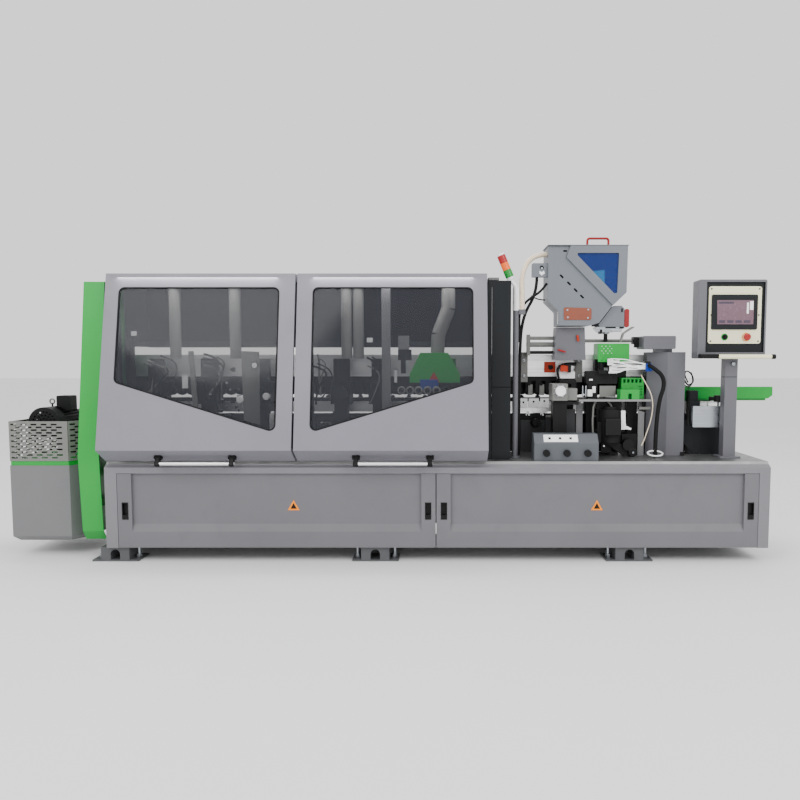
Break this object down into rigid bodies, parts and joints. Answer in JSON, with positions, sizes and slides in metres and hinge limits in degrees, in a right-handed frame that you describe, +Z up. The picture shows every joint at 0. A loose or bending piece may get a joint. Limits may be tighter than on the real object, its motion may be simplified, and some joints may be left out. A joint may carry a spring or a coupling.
{
  "type": "edge banding machine",
  "caption": "Long floor-standing woodworking machine that glues edging to boards: feed track, pressure beam, glue hopper, hinged hood and control panel.",
  "frame": {"origin": "centre of the footprint on the floor", "axes": "+X along the machine towards the infeed, -Y towards the operator, +Z up"},
  "size_m": [4.532, 1.064, 1.878],
  "materials": {
    "grey_paint": "satin structured paint",
    "panel_grey": "satin structured paint",
    "foot_grey": "satin paint",
    "green_paint": "satin paint",
    "dark_paint": "satin paint",
    "cream_paint": "smooth paint",
    "bed_steel": "oiled machined steel",
    "bolt_zinc": "zinc plated",
    "motor_grey": "painted casting",
    "aluminium": "anodised extrusion",
    "black_plastic": "moulded",
    "tinted_pane": "tinted polycarbonate",
    "blue_pane": "tinted polycarbonate",
    "red_plastic": "moulded",
    "white_plastic": "moulded",
    "pad_rubber": "ribbed",
    "clear_hose": "translucent",
    "black_hose": "smooth"
  },
  "bodies": {
    "root": {"base_frame": "grey_paint", "beam_columns": "dark_paint", "bed_plate": "bed_steel", "carriage_tubes": "bed_steel", "chain_pads": "pad_rubber", "electrical_cabinet": "grey_paint", "end_cover": "green_paint", "feed_motor": "motor_grey", "feed_track": "dark_paint", "feet": "foot_grey", "fence_arm": "aluminium", "front_fascia": "grey_paint", "glue_pot": "aluminium", "guide_table": "dark_paint", "guillotine": "dark_paint", "hood_shell": "grey_paint", "hopper_body": "grey_paint", "hopper_hose": "clear_hose", "hopper_pedestal": "grey_paint", "hopper_window": "blue_pane", "infeed_guide": "green_paint", "infeed_pillar": "grey_paint", "knob_box": "grey_paint", "levelling_bolts": "bolt_zinc", "mast_conduit": "black_hose", "melter_head": "grey_paint", "motor_guard": "grey_paint", "panel_post": "grey_paint", "pillar_hose": "black_hose", "press_block": "green_paint", "signal_tower": "white_plastic", "tape_magazine": "green_paint", "unit_internals": "dark_paint"},
    "door_left": {"hood_door_left": "grey_paint", "hood_window_left": "tinted_pane", "door_handle_left": "black_plastic"},
    "door_right": {"hood_door_right": "grey_paint", "hood_window_right": "tinted_pane", "door_handle_right": "black_plastic"},
    "panel_left": {"service_panel_left": "panel_grey"},
    "panel_right": {"service_panel_right": "panel_grey"},
    "lid": {"hopper_lid": "grey_paint"},
    "gate": {"melter_gate": "red_plastic"},
    "knob_1": {"regulator_knob_1": "black_plastic"},
    "knob_2": {"regulator_knob_2": "black_plastic"},
    "knob_3": {"regulator_knob_3": "black_plastic"},
    "console": {"control_panel": "dark_paint", "panel_plate": "cream_paint"},
    "stop": {"stop_button": "red_plastic"},
    "selector": {"selector_switch": "black_plastic"},
    "beam": {"pressure_beam": "aluminium", "beam_rollers": "pad_rubber"},
    "screw": {"lift_screw": "bed_steel"},
    "rear_support": {"support_extension": "aluminium"},
    "drive": {"drive_sprocket": "bed_steel"},
    "idler": {"idler_sprocket": "bed_steel"},
    "applicator": {"glue_roller": "bed_steel"},
    "presser": {"press_roller": "pad_rubber"},
    "dial": {"glue_dial": "white_plastic"},
    "lever": {"arm_lever": "black_plastic"}
  },
  "joints": [
    {"name": "door_left_hinge", "type": "hinge", "parent": "root", "child": "door_left", "pos_m": [-1.132, -0.295, 1.622], "axis": [-1, 0, 0], "range_deg": [0, 75]},
    {"name": "door_right_hinge", "type": "hinge", "parent": "root", "child": "door_right", "pos_m": [-0.056, -0.295, 1.622], "axis": [-1, 0, 0], "range_deg": [0, 75]},
    {"name": "panel_left_pull", "type": "slide", "parent": "root", "child": "panel_left", "axis": [0, -1, 0], "range_m": [0, 0.12]},
    {"name": "panel_right_pull", "type": "slide", "parent": "root", "child": "panel_right", "axis": [0, -1, 0], "range_m": [0, 0.12]},
    {"name": "lid_hinge", "type": "hinge", "parent": "root", "child": "lid", "pos_m": [1.085, 0.088, 1.808], "axis": [-1, 0, 0], "range_deg": [0, 95]},
    {"name": "gate_slide", "type": "slide", "parent": "root", "child": "gate", "axis": [1, 0, 0], "range_m": [0, 0.04]},
    {"name": "knob_1_turn", "type": "hinge", "parent": "root", "child": "knob_1", "pos_m": [0.818, -0.37, 0.615], "axis": [0, -1, 0], "range_deg": [-135, 135]},
    {"name": "knob_2_turn", "type": "hinge", "parent": "root", "child": "knob_2", "pos_m": [0.934, -0.37, 0.615], "axis": [0, -1, 0], "range_deg": [-135, 135]},
    {"name": "knob_3_turn", "type": "hinge", "parent": "root", "child": "knob_3", "pos_m": [1.052, -0.37, 0.615], "axis": [0, -1, 0], "range_deg": [-135, 135]},
    {"name": "console_swivel", "type": "hinge", "parent": "root", "child": "console", "pos_m": [1.909, -0.2, 1.17], "axis": [0, 0, 1], "range_deg": [-50, 50]},
    {"name": "stop_press", "type": "slide", "parent": "console", "child": "stop", "axis": [0, 1, 0], "range_m": [0, 0.005], "stiffness_N_per_m": 800},
    {"name": "selector_turn", "type": "hinge", "parent": "console", "child": "selector", "pos_m": [1.85, -0.26, 1.274], "axis": [0, -1, 0], "range_deg": [-45, 45]},
    {"name": "beam_lift", "type": "slide", "parent": "root", "child": "beam", "axis": [0, 0, 1], "range_m": [0, 0.04]},
    {"name": "screw_turn", "type": "hinge", "parent": "root", "child": "screw", "pos_m": [1.568, -0.025, 0.9], "axis": [0, 0, 1], "range_deg": [0, 1440]},
    {"name": "support_slide", "type": "slide", "parent": "root", "child": "rear_support", "axis": [0, 1, 0], "range_m": [0, 0.27]},
    {"name": "drive_turn", "type": "hinge", "parent": "root", "child": "drive", "pos_m": [-1.916, 0.14, 0.837], "axis": [0, 1, 0], "continuous": true},
    {"name": "idler_turn", "type": "hinge", "parent": "root", "child": "idler", "pos_m": [1.976, 0.14, 0.837], "axis": [0, 1, 0], "continuous": true},
    {"name": "applicator_turn", "type": "hinge", "parent": "root", "child": "applicator", "pos_m": [0.996, 0.03, 0.94], "axis": [0, 0, 1], "continuous": true},
    {"name": "presser_turn", "type": "hinge", "parent": "root", "child": "presser", "pos_m": [1.23, 0.034, 0.94], "axis": [0, 0, 1], "continuous": true},
    {"name": "dial_turn", "type": "hinge", "parent": "root", "child": "dial", "pos_m": [0.916, -0.23, 0.962], "axis": [0, -1, 0], "range_deg": [0, 270]},
    {"name": "lever_turn", "type": "hinge", "parent": "root", "child": "lever", "pos_m": [1.874, -0.135, 0.91], "axis": [0, 0, 1], "range_deg": [-150, 40]}
  ],
  "couplings": [
    {"joint": "screw_turn", "follows": "beam_lift", "rad_per_m": 628.32},
    {"joint": "idler_turn", "follows": "drive_turn", "ratio": 1}
  ]
}
